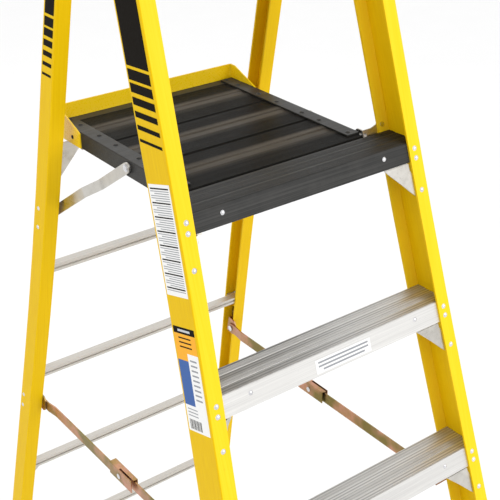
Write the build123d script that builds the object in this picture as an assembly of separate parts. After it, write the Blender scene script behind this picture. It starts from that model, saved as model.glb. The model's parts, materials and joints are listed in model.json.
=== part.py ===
"""Platform step ladder: two raked channel-rail frames hinged at the top, a hinged
standing deck carried by two arms, and a pair of folding spreaders.

Everything is drawn in a working frame with its origin on the front plane of the
front rails at the height of the platform step: x right, y to the rear, z up.
On export each node is shifted so the floor is z = 0 and the footprint is centred.
"""

from build123d import *
import math
import os

# Overall sizes, millimetres and degrees
PLATFORM_HEIGHT = 1727.2
STEP_PITCH = 304.8
STEP_COUNT = 5
FRONT_LEAN = 16.823
REAR_LEAN = 13.039
REAR_FACE_Y = 443.0

# Rails: channel sections with flanges pointing inward
FRONT_DEPTH = 79.06
FRONT_FLANGE = 30.51
FRONT_WALL = 4.0
REAR_DEPTH = 44.34
REAR_FLANGE = 30.74
REAR_WALL = 3.6

# Pivot points as (y, z) in the working frame
TOP_PIVOT = (315.0, 640.0)
DECK_PIVOT = (104.0, -8.0)
ARM_UPPER = (250.0, -10.0)
ARM_LOWER = (513.0, -189.0)
SPREAD_FRONT = (-113.0, -705.0)
SPREAD_MIDDLE = (276.0, -705.0)
SPREAD_REAR = (606.0, -704.0)

# Fasteners
SHANK = 3.2
HOLE_GAP = 0.05
HEAD_RADIUS = 5.2
HEAD_HEIGHT = 2.2

SOLE = 14.0
BOOT_WALL = 5.0
BOOT_HEIGHT = 62.0

lean = math.radians(FRONT_LEAN)
back = math.radians(REAR_LEAN)
FLOOR = -PLATFORM_HEIGHT

front_plane = Plane(
    origin=(0, 0, 0),
    x_dir=(1, 0, 0),
    z_dir=(0, -math.cos(lean), math.sin(lean)),
)
rear_plane = Plane(
    origin=(0, REAR_FACE_Y, 0),
    x_dir=(1, 0, 0),
    z_dir=(0, -math.cos(back), -math.sin(back)),
)


class Rail:
    """Outline of one rail in the plane of its frame, along slope distance s."""

    def __init__(self, plane, depth, flange, wall, width, taper, bend, upper, lower):
        self.plane = plane
        self.depth = depth
        self.flange = flange
        self.wall = wall
        self.width = width
        self.taper = taper
        self.bend = bend
        self.upper = upper
        self.lower = lower

    def slope(self, s):
        if s >= self.upper:
            return self.taper
        return self.taper + self.bend * (self.upper - max(s, self.lower))

    def half(self, s):
        if s >= self.upper:
            return self.width - self.taper * (s - self.upper)
        run = self.upper - max(s, self.lower)
        wide = self.width + self.taper * run + 0.5 * self.bend * run * run
        if s < self.lower:
            wide += self.slope(self.lower) * (self.lower - s)
        return wide

    def edge_point(self, s, inset):
        angle = math.atan(self.slope(s))
        return (
            self.half(s) - inset * math.cos(angle),
            s - inset * math.sin(angle),
        )

    def curve(self, inset, start, end):
        if max(start, end) > self.upper and min(start, end) < self.lower:
            middle = 0.5 * (self.upper + self.lower)
            stops = [start, self.upper, middle, self.lower, end]
            if start < end:
                stops = [start, self.lower, middle, self.upper, end]
            spots = [self.edge_point(s, inset) for s in stops]
            return [
                Line(spots[0], spots[1]),
                ThreePointArc(spots[1], spots[2], spots[3]),
                Line(spots[3], spots[4]),
            ]
        first = self.edge_point(start, inset)
        last = self.edge_point(end, inset)
        if self.lower < min(start, end) and max(start, end) < self.upper:
            middle = self.edge_point(0.5 * (start + end), inset)
            return [ThreePointArc(first, middle, last)]
        return [Line(first, last)]

    def band(self, inset_a, inset_b, top, bottom, near, far):
        """Strip between two insets, swept from depth near to depth far."""
        edges = self.curve(inset_a, top, bottom)
        edges += [Line(self.edge_point(bottom, inset_a), self.edge_point(bottom, inset_b))]
        edges += self.curve(inset_b, bottom, top)
        edges += [Line(self.edge_point(top, inset_b), self.edge_point(top, inset_a))]
        face = make_face(edges)
        return extrude(self.plane.offset(near) * face, amount=far - near)

    def spot(self, x, s, n):
        return self.plane.from_local_coords((x, s, n))

    def web_axis(self, s):
        """Outward normal of the web on the right-hand side."""
        angle = math.atan(self.slope(s))
        tip = self.plane.from_local_coords((math.cos(angle), math.sin(angle), 0))
        return tip - self.plane.origin

    def web_spot(self, s, n, inset):
        x, along = self.edge_point(s, inset)
        return self.spot(x, along, n)


front = Rail(
    front_plane, FRONT_DEPTH, FRONT_FLANGE, FRONT_WALL, 272.312, 0.031691, 5.7e-5, 47.6, -488.0
)
rear = Rail(
    rear_plane, REAR_DEPTH, REAR_FLANGE, REAR_WALL, 267.82, 0.027574, 6.1e-5, 10.2, -604.9
)


def other_side(shape):
    return mirror(shape, about=Plane.YZ)


def both(shapes):
    found = list(shapes)
    return found + [other_side(shape) for shape in found]


def side_plate(points, x_from, x_to):
    """Plate drawn in side view by (y, z) points, between two x positions."""
    face = make_face(Polyline(*points, close=True))
    return extrude(Plane.YZ.offset(x_from) * face, amount=x_to - x_from)


def below_cut(level, tall=400):
    return Pos(0, 0, level - tall / 2) * Box(2000, 4000, tall)


def disc(y, z, radius, x_from, x_to):
    length = abs(x_to - x_from)
    middle = 0.5 * (x_from + x_to)
    return Pos(middle, y, z) * Rot(0, 90, 0) * Cylinder(radius, length)


def rivet(point, axis, grip, radius=HEAD_RADIUS, shank=SHANK):
    """Domed rivet: head seated at point facing axis, upset tail past the grip."""
    dome = radius * 0.42
    profile = [
        ThreePointArc((0, dome), (radius * 0.68, dome * 0.72), (radius, 0)),
        Line((radius, 0), (shank, 0)),
        Line((shank, 0), (shank, -grip)),
        Line((shank, -grip), (shank + 1.6, -grip)),
        Line((shank + 1.6, -grip), (shank + 1.2, -grip - 2.0)),
        Line((shank + 1.2, -grip - 2.0), (0, -grip - 2.0)),
        Line((0, -grip - 2.0), (0, dome)),
    ]
    body = revolve(Plane.XZ * make_face(profile), Axis.Z)
    return Plane(origin=point, z_dir=axis).location * body


def screw(point, axis, length, radius=4.8, shank=2.6):
    """Pan-head screw: head seated at point facing axis, shank running the other way."""
    profile = [
        Line((0, 2.4), (radius - 1.0, 2.4)),
        Line((radius - 1.0, 2.4), (radius, 1.2)),
        Line((radius, 1.2), (radius, 0)),
        Line((radius, 0), (shank, 0)),
        Line((shank, 0), (shank, -length + 1.5)),
        Line((shank, -length + 1.5), (0, -length)),
        Line((0, -length), (0, 2.4)),
    ]
    body = revolve(Plane.XZ * make_face(profile), Axis.Z)
    return Plane(origin=point, z_dir=axis).location * body


def hole(point, axis, length=14.0, radius=SHANK + HOLE_GAP):
    """Drill centred on point along axis."""
    return Plane(origin=point, z_dir=axis).location * Cylinder(radius, length)


# ------------------------------------------------------------------ rails


def make_rail(rail, top, bottom):
    wall = rail.wall
    outer = rail.band(0, rail.flange, top, bottom, 0, -rail.depth)
    inner = rail.band(
        wall, rail.flange + 5, top + 5, bottom - 5, -wall, -(rail.depth - wall)
    )
    shape = outer - inner
    corners = []
    for edge in shape.edges():
        if edge.length < 100:
            continue
        local = rail.plane.to_local_coords(edge @ 0.5)
        wide = rail.half(local.Y)
        if abs(local.X - wide) < 0.6:
            corners.append(edge)
    shape = fillet(corners, 2.6)
    return shape - below_cut(FLOOR + SOLE)


# ------------------------------------------------------------------ steps


def slope_point(depth, s):
    """(y, z) of a point a given depth behind the front plane at slope distance s."""
    return (
        s * math.sin(lean) + depth * math.cos(lean),
        s * math.cos(lean) - depth * math.sin(lean),
    )


def treads(start, end, level, pitch, tall):
    """Row of small anti-slip ribs from start to end."""
    count = int((end - start) / pitch)
    points = []
    for index in range(count):
        y = start + index * pitch
        points.append((y, level - tall))
        points.append((y + 0.3, level))
        points.append((y + pitch - 0.9, level))
        points.append((y + pitch - 0.6, level - tall))
    return points


def step_profile(level, skirt, bands, pitch=2.2, tall=0.8):
    """Closed side-view outline of a channel step, top crest at the given level."""
    nose_depth = FRONT_WALL
    tail_depth = FRONT_DEPTH - FRONT_WALL
    sheet = 2.4
    lip = 9.0
    start = level * math.tan(lean)
    nose = start + nose_depth / math.cos(lean)
    tail = start + tail_depth / math.cos(lean)
    down = (math.sin(lean), math.cos(lean))
    over = (math.cos(lean), -math.sin(lean))
    points = [(nose - 0.25, level - 1.0), (nose + 0.9, level - 0.1)]
    for low, high in bands:
        points += treads(start + low, start + high, level, pitch, tall)
    points += [(tail - 1.6, level - 0.1), (tail - 0.5, level - 1.0)]
    rear_foot = (tail - skirt * down[0], level - skirt * down[1])
    nose_foot = (nose - skirt * down[0], level - skirt * down[1])
    points.append(rear_foot)
    points.append((rear_foot[0] - lip * over[0], rear_foot[1] - lip * over[1]))
    inner = (points[-1][0] + sheet * down[0], points[-1][1] + sheet * down[1])
    points.append(inner)
    gap = lip - sheet
    points.append((inner[0] + gap * over[0], inner[1] + gap * over[1]))
    under = level - 3.4
    points.append((tail - sheet / math.cos(lean) - (level - under) * math.tan(lean), under))
    points.append((nose + sheet / math.cos(lean) - (level - under) * math.tan(lean), under))
    corner = (
        nose_foot[0] + sheet * over[0],
        nose_foot[1] + sheet * over[1],
    )
    points.append(corner)
    points.append(nose_foot)
    return points


def make_step(level, skirt, bands):
    s_top = level / math.cos(lean)
    near = front.half(s_top + 5) - front.wall - 0.4
    far = front.half(s_top - 45) - front.wall - 0.4
    block = side_plate(step_profile(level, skirt, bands), -far - 2, far + 2)
    outline = Polyline(
        (near, s_top + 5), (far, s_top - 45), (-far, s_top - 45), (-near, s_top + 5), close=True
    )
    limit = extrude(front_plane.offset(10) * make_face(outline), amount=-110)
    # The limit is widened upward so the horizontal tread is kept to its full height.
    rise = 30.0
    outline = Polyline(
        (near - rise * front.slope(s_top), s_top + 5 + rise),
        (near, s_top + 5),
        (-near, s_top + 5),
        (-near + rise * front.slope(s_top), s_top + 5 + rise),
        close=True,
    )
    limit += extrude(front_plane.offset(10) * make_face(outline), amount=-110)
    return block & limit


STEP_BANDS = [(6, 12), (27, 44), (57, 74)]
PLATFORM_BANDS = [(6, 31), (36, 56), (61, 74)]


def step_level(number):
    """Tread height of step 1..5 counted from the floor; 6 is the platform step."""
    return -(STEP_COUNT + 1 - number) * STEP_PITCH


def knee_brace(number, gusset):
    """Pressed plate behind the step skirt and the rail flange, drawn on the right.

    A gusset fills the corner; without it the plate keeps to the skirt and the flange.
    """
    s_top = step_level(number) / math.cos(lean)
    skirt = 36.2 if number == STEP_COUNT + 1 else 40.7
    if gusset:
        outline = [
            (36, -6), (104, -6), (100, -26), (90, -42), (60, -71), (38, -94), (30, -101),
            (16, -104), (9, -99), (8, -84), (12, -72), (24, -63), (31, -56), (35, -49),
        ]
    else:
        outline = [
            (36, -6), (104, -6), (104, -22), (97, -29), (60, 8 - skirt), (47, 0.7 - skirt),
            (41, -5.3 - skirt), (36, -12.3 - skirt), (32, -23 - skirt), (31, -97), (25, -104),
            (14, -104), (8, -97), (8, -15 - skirt), (13, -7 - skirt), (36, -1.3 - skirt),
        ]
    points = []
    for inboard, drop in outline:
        s = s_top + drop
        points.append((front.half(s) - inboard, s))
    face = make_face(Polyline(*points, close=True))
    sheet = 2.4
    behind = FRONT_WALL + sheet
    upper = extrude(front_plane.offset(-behind) * face, amount=-sheet)
    lower = extrude(front_plane.offset(-FRONT_WALL) * face, amount=-sheet)
    joggle = extrude(front_plane.offset(-FRONT_WALL) * face, amount=-2 * sheet)
    wide = 400
    edge = s_top - skirt - 0.6
    top_zone = extrude(
        front_plane.offset(5) * (Pos(200, edge - 4 + 100) * Rectangle(wide, 200)), amount=-60
    )
    low_zone = extrude(
        front_plane.offset(5) * (Pos(200, edge - 100) * Rectangle(wide, 200)), amount=-60
    )
    mid_zone = extrude(
        front_plane.offset(5) * (Pos(200, edge - 2) * Rectangle(wide, 4)), amount=-60
    )
    return (upper & top_zone) + (lower & low_zone) + (joggle & mid_zone)


# ------------------------------------------------------------------ front brackets


def front_s(z, n):
    """Slope distance in the front frame of height z at depth n."""
    return (z - n * math.sin(lean)) / math.cos(lean)


def rear_s(z, n):
    """Slope distance in the rear frame of height z at depth n."""
    return (z + n * math.sin(back)) / math.cos(back)


def flange_plate(rail, points, near, sheet):
    """Flat plate on a frame plane from (x, s) points."""
    face = make_face(Polyline(*points, close=True))
    return extrude(rail.plane.offset(near) * face, amount=-sheet)


def deck_hinge_bracket():
    """Angle bracket on the rear flange; its ear carries the deck hinge pin."""
    y, z = DECK_PIVOT
    low = front_s(-22, -FRONT_DEPTH)
    lip = front_s(3.5, -FRONT_DEPTH)
    high = front_s(25, -FRONT_DEPTH)
    ledge = front_s(10, -FRONT_DEPTH)
    base = flange_plate(
        front,
        [(214.5, low), (264, low), (267, low + 4), (267, high - 4), (263, high), (259, high),
         (250, ledge + 11), (241, ledge + 4), (228, ledge), (206, ledge), (206, lip),
         (214.5, lip)],
        -FRONT_DEPTH,
        2.6,
    )
    root = (z - 13) * math.tan(lean) + FRONT_DEPTH / math.cos(lean)
    peak = (z + 13) * math.tan(lean) + FRONT_DEPTH / math.cos(lean)
    ear = side_plate([(root + 0.2, z - 13), (y + 6, z - 13), (y + 12, z - 6), (y + 12, z + 7),
                      (y + 6, z + 13), (peak + 0.2, z + 13)], 214.5, 217.5)
    return base + ear


def spreader_front_bracket():
    """Angle bracket on the rear flange of the front rail for the spreader."""
    y, z = SPREAD_FRONT
    s = front_s(z, -FRONT_DEPTH)
    base = flange_plate(
        front,
        [(252.2, s - 18), (300, s - 18), (304, s - 13), (304, s + 15), (300, s + 20), (252.2, s + 20)],
        -FRONT_DEPTH,
        3.0,
    )
    root = (z - 13) * math.tan(lean) + FRONT_DEPTH / math.cos(lean)
    peak = (z + 13) * math.tan(lean) + FRONT_DEPTH / math.cos(lean)
    ear = side_plate([(root + 0.2, z - 13), (y + 5, z - 13), (y + 12, z - 6), (y + 12, z + 6),
                      (y + 5, z + 13), (peak + 0.2, z + 13)], 252.2, 255.2)
    return base + ear


def front_face_s(y, z):
    """Slope distance and depth of a side-view point in the front frame."""
    s = y * math.sin(lean) + z * math.cos(lean)
    n = -(y * math.cos(lean) - z * math.sin(lean))
    return s, n


def rear_face_s(y, z):
    """Slope distance and depth of a side-view point in the rear frame."""
    run = y - REAR_FACE_Y
    s = -run * math.sin(back) + z * math.cos(back)
    n = -(run * math.cos(back) + z * math.sin(back))
    return s, n


def top_hinge_plate():
    """Steel plate on the outside of the front web, carrying the top pivot."""
    s, n = front_face_s(*TOP_PIVOT)
    sheet = 3.0
    plate = front.band(-sheet, 0, s + 40, s - 78, -12, n - 20)
    plate -= Pos(0, 300, 700) * Box(800, 800, 99)
    # Lower rear corner is cut away so the plate narrows towards the pivot.
    points = []
    for along, depth in [(s - 92, -FRONT_DEPTH - 4), (s - 92, n - 40), (s - 22, n - 40), (s - 24, n - 16)]:
        points.append(slope_point(-depth, along))
    trim = side_plate(points, 200, 300)
    return plate - trim


def top_cap(rail_right, plate_right):
    """Moulded tray that closes the top of the front frame."""
    y0, y1 = 187.0, 352.0
    low, high = 652.0, 688.0
    body = Pos(0, (y0 + y1) / 2, (low + high) / 2) * Box(528, y1 - y0, high - low)
    upright = body.edges().filter_by(Axis.Z)
    body = fillet(upright, 12)
    rim = body.faces().sort_by(Axis.Z)[-1].edges()
    body = fillet(rim, 3)
    hollow = Pos(0, (y0 + y1) / 2, (low + 676) / 2 - 1) * Box(521, y1 - y0 - 7, 676 - low + 2)
    body -= hollow
    tray = Pos(0, (y0 + y1) / 2, high) * Box(470, 130, 16)
    tray = fillet(tray.edges().filter_by(Axis.Z), 10)
    body -= tray
    block = Pos(255.5, 232, 664) * Box(14, 60, 24)
    body = body + block + other_side(block)
    body = body - rail_right - other_side(rail_right)
    return body - plate_right - other_side(plate_right)


# ------------------------------------------------------------------ feet


def foot(rail, rail_solid):
    """Rubber boot plugged into and wrapped round the end of a rail."""
    lean_here = lean if rail is front else back
    s_floor = FLOOR / math.cos(lean_here)
    top = s_floor + BOOT_HEIGHT
    boot = rail.band(-BOOT_WALL, rail.flange + BOOT_WALL, top, s_floor - 60, BOOT_WALL,
                     -(rail.depth + BOOT_WALL))
    boot -= below_cut(FLOOR)
    boot -= rail_solid
    grooves = []
    y_mid = FLOOR * math.tan(lean) + 40 if rail is front else REAR_FACE_Y - FLOOR * math.tan(back) + 24
    for index in range(-4, 5):
        grooves.append(Pos(350, y_mid + index * 10, FLOOR) * Box(200, 3.0, 5))
    return boot - grooves


# ------------------------------------------------------------------ rear frame

RUNG_LEVELS = [-31.0, -309.4, -602.1, -894.3, -1182.3, -1473.0]


RUNG_TALL = 19.0
RUNG_DEEP = 16.0
RUNG_SHEET = 1.6
RUNG_TAB = 2.6
TOP_RUNG_NEAR = -12.0
RUNG_TAB_DROP = 17.0


def rung_near(index):
    """Depth of a rung's front edge; the top rung sits further back, clear of the folded arms."""
    return TOP_RUNG_NEAR if index == 0 else -REAR_WALL


def rung_s(index):
    """Slope distance of a rung's top face, from the height of its rear upper edge."""
    return rear_s(RUNG_LEVELS[index], rung_near(index) - RUNG_DEEP)


def rung_bar(s_top, near, reach):
    """Tube with a shallow groove along its front face and drain slots underneath."""
    middle = s_top - RUNG_TALL / 2
    wide = 2 * reach

    def slab(tall, start, stop):
        zone = Pos(0, middle) * Rectangle(wide + 20, tall)
        return extrude(rear_plane.offset(near - start) * zone, amount=start - stop)

    body = extrude(rear_plane.offset(near) * (Pos(0, middle) * Rectangle(wide, RUNG_TALL)),
                   amount=-RUNG_DEEP)
    cavity = slab(RUNG_TALL - 2 * RUNG_SHEET, RUNG_SHEET, RUNG_DEEP - RUNG_SHEET)
    cavity -= slab(7.6, 0, 4.8)
    body -= cavity
    body -= slab(4.4, -1.0, 3.2)
    for x in (-100.0, 100.0):
        drain = Pos(x, s_top - RUNG_TALL) * Rectangle(12, 8)
        body -= extrude(rear_plane.offset(near - 7) * drain, amount=-3)
    return body


def rung(index):
    """Grooved tube with angle ends that lie on the webs and on the rear flanges."""
    s_top = rung_s(index)
    s_low = s_top - RUNG_TALL
    near = rung_near(index)
    back_face = near - RUNG_DEEP
    flange_side = -REAR_DEPTH + REAR_WALL
    tab_top = s_top - RUNG_TAB_DROP
    tab_low = s_low - RUNG_TAB_DROP
    body = rung_bar(s_top, near, 188.0 if index == 0 else rear.half(s_low) + 5)
    beyond = rear.band(-30, REAR_WALL + RUNG_TAB - 0.6, s_top + 5, s_low - 5, 5, -60)
    body = body - beyond - other_side(beyond)
    cheek = rear.band(REAR_WALL, REAR_WALL + RUNG_TAB, s_top + 2, tab_low - 2, near, flange_side)
    side = [
        rear_side_point(s, n)
        for s, n in [(s_top, near), (s_top, back_face), (tab_top, flange_side),
                     (tab_low, flange_side), (s_low, back_face), (s_low, near)]
    ]
    cheek = cheek & side_plate(side, 200, 400)
    tab = [
        (rear.half(s_top) - 27, tab_top), (rear.half(tab_top) - REAR_WALL - 1, tab_top),
        (rear.half(tab_low) - REAR_WALL - 1, tab_low), (rear.half(s_top) - 27, tab_low),
    ]
    end = cheek + flange_plate(rear, tab, flange_side + RUNG_TAB, RUNG_TAB)
    if index == 0:
        limit = rear.half(s_top) - REAR_WALL - 1
        flat = [(182, s_top), (limit, s_top), (limit, s_low), (182, s_low)]
        end += flange_plate(rear, flat, back_face + RUNG_SHEET, RUNG_SHEET)
    return body + end + other_side(end)


def top_rung_brace():
    """Corner plate behind the top rung with a stand-off down to the rear flange."""
    near = TOP_RUNG_NEAR - RUNG_DEEP
    sheet = 2.4
    outline = [
        (186, -40), (226, -40), (236, -44), (240, -52), (244, -88), (262, -98),
        (264, -120), (246, -126), (228, -124), (186, -62),
    ]
    plate = flange_plate(rear, outline, near, sheet)
    standoff = REAR_DEPTH - REAR_WALL + near - sheet
    return plate + strip((252, -111), (256, -113), 14.0, rear_plane, near - sheet, standoff)


def strip(start, end, wide, plane, near, sheet):
    """Flat bar with round ends between two (x, s) points of a frame plane."""
    run = (end[0] - start[0], end[1] - start[1])
    length = math.hypot(*run)
    angle = math.degrees(math.atan2(run[1], run[0]))
    middle = ((start[0] + end[0]) / 2, (start[1] + end[1]) / 2)
    outline = Pos(*middle) * Rot(0, 0, angle) * SlotCenterToCenter(length, wide)
    return extrude(plane.offset(near) * outline, amount=-sheet)


def rear_web_bracket(pivot, s_low, s_high, ear_x, cross_n, up=13.0, down=13.0, sheet=3.0):
    """Cranked bracket: base on the inside of the rear web, ear facing the frame middle."""
    s, n = rear_face_s(*pivot)
    deep = -REAR_DEPTH + REAR_WALL + 1.0
    base = rear.band(REAR_WALL, REAR_WALL + sheet, s_high, s_low, -8.0, deep)
    wide = rear.half(s) - REAR_WALL - 0.6
    cross = [
        (ear_x, s + up), (wide, s + up), (wide, s - down), (ear_x, s - down),
    ]
    cross = flange_plate(rear, cross, cross_n, sheet)
    cross -= rear.band(-20, REAR_WALL, s + 40, s - 40, 5, -60)
    ear_points = []
    root = cross_n - sheet
    outline = [(up, root), (up, n + 5), (up - 7, n + 12), (7 - down, n + 12), (-down, n + 5), (-down, root)]
    for ds, depth in outline:
        ear_points.append(rear_side_point(s + ds, depth))
    ear = side_plate(ear_points, ear_x, ear_x + sheet)
    return base + cross + ear


def rear_side_point(s, n):
    """(y, z) of slope distance s and depth n in the rear frame."""
    return (
        REAR_FACE_Y - s * math.sin(back) - n * math.cos(back),
        s * math.cos(back) - n * math.sin(back),
    )


# ------------------------------------------------------------------ deck

DECK_FRONT = 98.0
DECK_REAR = 508.0
SLATS = [(82.0, 214.0), (217.0, 352.0), (355.0, 490.0)]
SKIRT_IN = 207.8
SKIRT_OUT = 210.8


def deck_slat(start, end):
    """Ribbed channel slat with a smooth trough along its middle."""
    wide = end - start
    trough = start + wide * 0.44
    stop = trough + wide * 0.15
    points = [(start, -1.2), (start + 1.2, 0)]
    points += treads(start + 3, trough - 2, 0, 3.0, 0.9)
    points += [(trough - 1, 0), (trough + 2, -1.9), (stop - 0.6, -1.9), (stop, 0)]
    points += treads(stop + 2, end - 3, 0, 3.0, 0.9)
    points += [(end - 1.2, 0), (end, -1.2)]
    points += [(end, -25), (end - 11, -25), (end - 11, -22.6), (end - 2.4, -22.6), (end - 2.4, -4.4)]
    points += [(start + 2.4, -4.4), (start + 2.4, -22.6), (start + 11, -22.6), (start + 11, -25)]
    points += [(start, -25)]
    return side_plate(points, -205.6, 205.6)


def deck_side_rail():
    """Angle along the right-hand side of the deck, flange on top of the slats."""
    top = Pos((179.6 + SKIRT_OUT) / 2, (DECK_FRONT + DECK_REAR) / 2, 1.8)
    top = top * Box(SKIRT_OUT - 179.6, DECK_REAR - DECK_FRONT, 3.0)
    skirt = side_plate(
        [(DECK_FRONT, 3.3), (DECK_REAR, 3.3), (DECK_REAR, -30), (DECK_FRONT + 10, -30),
         (DECK_FRONT, -20)], SKIRT_IN, SKIRT_OUT)
    shape = top + skirt
    corner = [
        edge for edge in shape.edges().filter_by(Axis.Y)
        if abs((edge @ 0.5).X - SKIRT_OUT) < 0.01 and (edge @ 0.5).Z > 3
    ]
    return fillet(corner, 2.2)


def deck_rear_rail():
    """Angle closing the rear of the deck."""
    points = [(491.8, 0), (515.0, 0), (515.0, -30), (512.4, -30), (512.4, -3), (491.8, -3)]
    return side_plate(points, -207.4, 207.4)


def toe_board():
    """Bent strip standing round the rear of the deck."""
    sheet = 2.4
    wide = 213.5
    rear_y = 517.6
    outer = Pos(0, rear_y - 100) * Rectangle(2 * wide, 200)
    outer = fillet(outer.vertices().group_by(Axis.Y)[-1], 5.6)
    inner = Pos(0, rear_y - 100 - sheet) * Rectangle(2 * wide - 2 * sheet, 200)
    inner = fillet(inner.vertices().group_by(Axis.Y)[-1], 3.2)
    ring = extrude(Plane.XY.offset(-40) * outer, amount=80)
    ring -= extrude(Plane.XY.offset(-45) * inner, amount=90)
    side = side_plate(
        [(425, -30), (425, 0.5), (431, 3.5), (494, 29), (501, 31.5), (540, 31.5), (540, -30)],
        -300, 300)
    return ring & side


# ------------------------------------------------------------------ links


def strap(start, end, offsets, wide, sheet, hole_radius):
    """Flat strap between two side-view pivots; offsets list (distance, x) centre lines."""
    run = (end[0] - start[0], end[1] - start[1])
    length = math.hypot(*run)
    along = Vector(0, run[0] / length, run[1] / length)
    bend_plane = Plane(origin=(0, start[0], start[1]), x_dir=along, z_dir=along.cross(Vector(1, 0, 0)))
    upper = []
    lower = []
    for distance, x in offsets:
        upper.append((distance, x + sheet / 2))
        lower.append((distance, x - sheet / 2))
    face = make_face(Polyline(*(upper + lower[::-1]), close=True))
    body = extrude(bend_plane * face, amount=wide / 2, both=True)
    flat = Plane(origin=(0, start[0], start[1]), x_dir=along, z_dir=(1, 0, 0))
    outline = Pos(length / 2, 0) * SlotCenterToCenter(length, wide)
    body &= extrude(flat * outline, amount=400)
    body -= disc(start[0], start[1], hole_radius, 150, 350)
    return body - disc(end[0], end[1], hole_radius, 150, 350)


ARM_PIN = 4.0
ARM_IN = 214.5
ARM_LOW = 234.5
LINK_FRONT_X = 255.7
LINK_REAR_X = 261.2
LINK_REAR_END_X = 265.2
CHANNEL_OUT = 266.6


def arm_bar():
    length = math.hypot(ARM_LOWER[0] - ARM_UPPER[0], ARM_LOWER[1] - ARM_UPPER[1])
    x_in = ARM_IN + 1.5
    x_out = ARM_LOW + 1.5
    offsets = [(-15, x_in), (121, x_in), (163, x_out), (length + 15, x_out)]
    return strap(ARM_UPPER, ARM_LOWER, offsets, 20.5, 3.0, ARM_PIN)


def arm_pin():
    """Upper rivet of the arm with its spacer; it stops just short of the deck skirt."""
    y, z = ARM_UPPER
    shape = disc(y, z, ARM_PIN, 211.2, ARM_IN + 3.0)
    shape += disc(y, z, 8.0, 211.2, ARM_IN)
    shape += disc(y, z, 7.5, ARM_IN + 3.0, ARM_IN + 4.6)
    return shape + disc(y, z, 5.6, ARM_IN + 4.6, ARM_IN + 5.8)


def spreader_front_link():
    length = SPREAD_MIDDLE[0] - SPREAD_FRONT[0]
    x = LINK_FRONT_X + 1.5
    return strap(SPREAD_FRONT, SPREAD_MIDDLE, [(-16, x), (length + 16, x)], 25.0, 3.0, ARM_PIN)


def spreader_rear_link():
    length = SPREAD_REAR[0] - SPREAD_MIDDLE[0]
    x_main = LINK_REAR_X + 1.5
    x_end = LINK_REAR_END_X + 1.5
    offsets = [(-16, x_main), (length - 48, x_main), (length - 22, x_end), (length + 16, x_end)]
    return strap(SPREAD_MIDDLE, SPREAD_REAR, offsets, 25.0, 3.0, ARM_PIN)


def spreader_channel():
    """Inverted channel over both links at the middle pivot.

    Its top is slotted ahead of the pivot so the rear link can swing out through it.
    """
    y0, y1 = SPREAD_MIDDLE[0] - 48.0, SPREAD_MIDDLE[0] + 38.0
    z = SPREAD_MIDDLE[1]
    inner, outer = 249.6, CHANNEL_OUT
    sheet = 1.6
    shell = Pos((inner + outer) / 2, (y0 + y1) / 2, z + 1) * Box(outer - inner, y1 - y0, 30)
    top_edges = [edge for edge in shell.edges().filter_by(Axis.Y) if (edge @ 0.5).Z > z]
    shell = fillet(top_edges, 1.5)
    void = Pos((inner + outer) / 2, (y0 + y1) / 2, z - 1.0) * Box(outer - inner - 2 * sheet, 200, 31)
    shell -= void
    slot_end = SPREAD_MIDDLE[0] + 2.0
    slot = Pos((260.4 + outer - sheet) / 2, slot_end - 60, z + 16) * Box(outer - sheet - 260.4, 120, 8)
    shell -= slot
    return shell - disc(SPREAD_MIDDLE[0], z, ARM_PIN, 240, 275)


def spreader_pin():
    """Middle rivet of the spreader; it stops just short of the rear link."""
    y, z = SPREAD_MIDDLE
    shape = disc(y, z, ARM_PIN, 249.6, 260.8)
    shape += disc(y, z, 7.0, 251.2, LINK_FRONT_X)
    return shape + disc(y, z, 6.0, 247.8, 249.6)


def spreader_channel_rivet():
    """Head of the middle rivet in the channel's outer wall."""
    y, z = SPREAD_MIDDLE
    return disc(y, z, ARM_PIN, CHANNEL_OUT - 2.0, CHANNEL_OUT) + disc(y, z, 6.0, CHANNEL_OUT, CHANNEL_OUT + 1.8)


def stepped_pin(pivot, spans):
    """Turned pin on an x-parallel axis from (radius, x_from, x_to) spans."""
    shape = None
    for radius, x_from, x_to in spans:
        piece = disc(pivot[0], pivot[1], radius, x_from, x_to)
        shape = piece if shape is None else shape + piece
    return shape


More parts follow.
